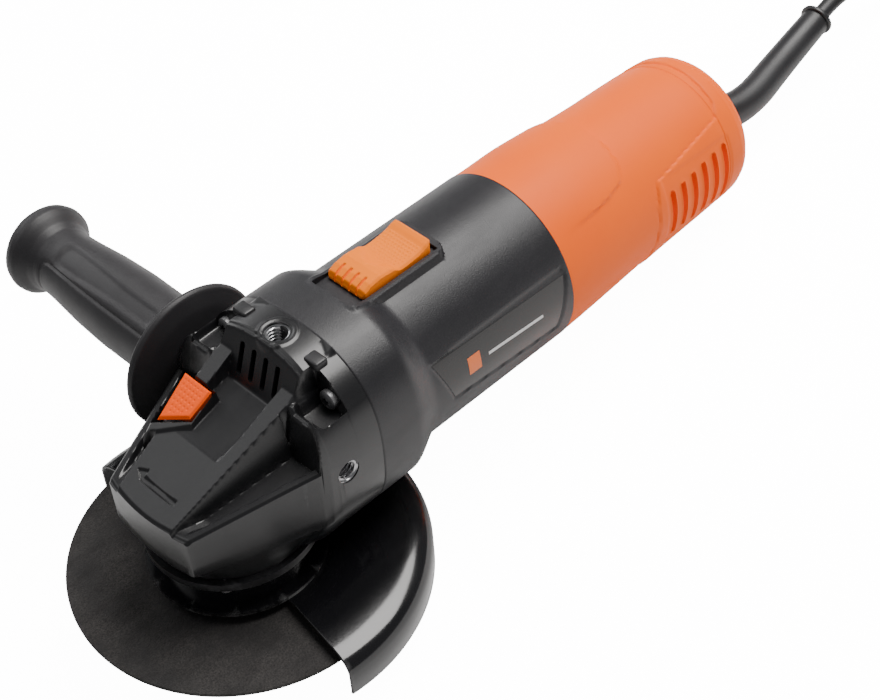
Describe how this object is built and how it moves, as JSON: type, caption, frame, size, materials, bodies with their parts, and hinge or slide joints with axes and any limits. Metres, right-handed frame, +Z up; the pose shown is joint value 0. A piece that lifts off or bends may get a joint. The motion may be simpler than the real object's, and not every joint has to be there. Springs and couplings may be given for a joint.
{
  "type": "angle grinder",
  "caption": "Corded angle grinder: bevel gear head with guard and cutting disc, side handle, slide switch, barrel motor housing with rear cover and lead.",
  "frame": {"origin": "centre of the tool's footprint on the bench, without its cord", "axes": "+X along the body from the gear head to the rear cover, +Y towards the side handle, +Z up from the bench"},
  "size_m": [0.5377, 0.242, 0.104],
  "materials": {
    "black_casting": "semi-gloss black paint on a casting",
    "black_plastic": "satin moulded plastic, fine grain",
    "orange_plastic": "satin moulded plastic, fine grain",
    "slide_plastic": "satin moulded plastic, stippled pad",
    "lock_plastic": "satin moulded plastic, stippled pad",
    "handle_plastic": "satin grip plastic with smooth inset panels",
    "inner_plastic": "moulded",
    "fan_plastic": "moulded",
    "capacitor_case": "dipped",
    "badge": null,
    "black_rubber": "smooth",
    "wire_sheath": "smooth",
    "guard_paint": "gloss black on pressed steel",
    "abrasive": "resin-bonded grit",
    "steel": "machined",
    "bright_steel": "ground",
    "black_steel": "black oxide",
    "spring_steel": "drawn wire",
    "gear_steel": "hardened",
    "lamination": "stacked sheet",
    "copper": "enamelled copper wire",
    "brass": "stamped",
    "carbon": "pressed carbon"
  },
  "bodies": {
    "casing": {"gear_housing": "black_casting", "motor_housing": "black_plastic", "rear_cover": "orange_plastic", "bearing_cover": "black_casting", "bearing_cover_screws": "steel", "gear_housing_screws": "black_steel", "thread_inserts": "bright_steel", "rim_plugs": "black_rubber", "badge_plate": "badge", "rear_cover_screws": "black_steel", "fan_baffle": "black_plastic", "stator_core": "lamination", "stator_windings": "copper", "stator_screws": "steel", "front_bearing_outer": "bright_steel", "rear_bearing_outer": "bright_steel", "rear_bearing_sleeve": "black_rubber", "spindle_bearing_outer": "bright_steel", "spindle_bush": "brass", "brush_holders": "brass", "switch_module": "inner_plastic", "capacitor": "capacitor_case", "wiring": "wire_sheath", "cord_clamp": "black_plastic", "handle_grip": "handle_plastic", "handle_stud": "steel", "strain_relief": "black_rubber", "power_cord": "black_rubber", "cord_coil": "black_rubber", "plug_body": "black_rubber", "plug_pins": "brass", "lock_spring": "spring_steel", "brush_spring_left": "spring_steel", "brush_spring_right": "spring_steel"},
    "spindle_group": {"spindle": "steel", "crown_wheel": "gear_steel", "wheel_clip": "spring_steel", "spindle_bearing_inner": "bright_steel", "spindle_bearing_balls": "bright_steel", "inner_flange": "steel", "cutting_disc": "abrasive", "clamp_nut": "black_steel"},
    "armature_group": {"armature_shaft": "steel", "armature_core": "lamination", "armature_windings": "copper", "commutator": "brass", "cooling_fan": "fan_plastic", "pinion": "gear_steel", "pinion_nut": "steel", "front_bearing_inner": "bright_steel", "rear_bearing_inner": "bright_steel"},
    "guard": {"guard_shell": "guard_paint", "guard_collar": "guard_paint", "guard_clamp_screw": "steel"},
    "spindle_lock": {"lock_button": "lock_plastic", "lock_pin": "steel"},
    "power_slide": {"slide_button": "slide_plastic", "switch_link_rod": "steel"},
    "left_brush": {"carbon_brush_left": "carbon"},
    "right_brush": {"carbon_brush_right": "carbon"}
  },
  "joints": [
    {"name": "spindle_spin", "type": "hinge", "parent": "casing", "child": "spindle_group", "pos_m": [-0.0916, -0.0335, 0.0696], "axis": [0.1575, 0, 0.9875], "continuous": true},
    {"name": "armature_spin", "type": "hinge", "parent": "casing", "child": "armature_group", "pos_m": [-0.0916, -0.0335, 0.0696], "axis": [0.9875, 0, -0.1575], "continuous": true},
    {"name": "guard_turn", "type": "hinge", "parent": "casing", "child": "guard", "pos_m": [-0.0916, -0.0335, 0.0696], "axis": [0.1575, 0, 0.9875], "range_deg": [-40, 60]},
    {"name": "spindle_lock_press", "type": "slide", "parent": "casing", "child": "spindle_lock", "axis": [-0.1575, 0, -0.9875], "range_m": [0, 0.0045], "stiffness_N_per_m": 600, "springref_m": -0.004, "deforming": ["lock_spring"]},
    {"name": "power_slide_move", "type": "slide", "parent": "casing", "child": "power_slide", "axis": [-0.9875, 0, 0.1575], "range_m": [0, 0.006]},
    {"name": "left_brush_feed", "type": "slide", "parent": "casing", "child": "left_brush", "axis": [0, 1, 0], "range_m": [0, 0.004], "stiffness_N_per_m": 300, "springref_m": -0.004, "deforming": ["brush_spring_left"]},
    {"name": "right_brush_feed", "type": "slide", "parent": "casing", "child": "right_brush", "axis": [0, -1, 0], "range_m": [0, 0.004], "stiffness_N_per_m": 300, "springref_m": -0.004, "deforming": ["brush_spring_right"]}
  ],
  "couplings": [
    {"joint": "armature_spin", "follows": "spindle_spin", "ratio": 3}
  ]
}
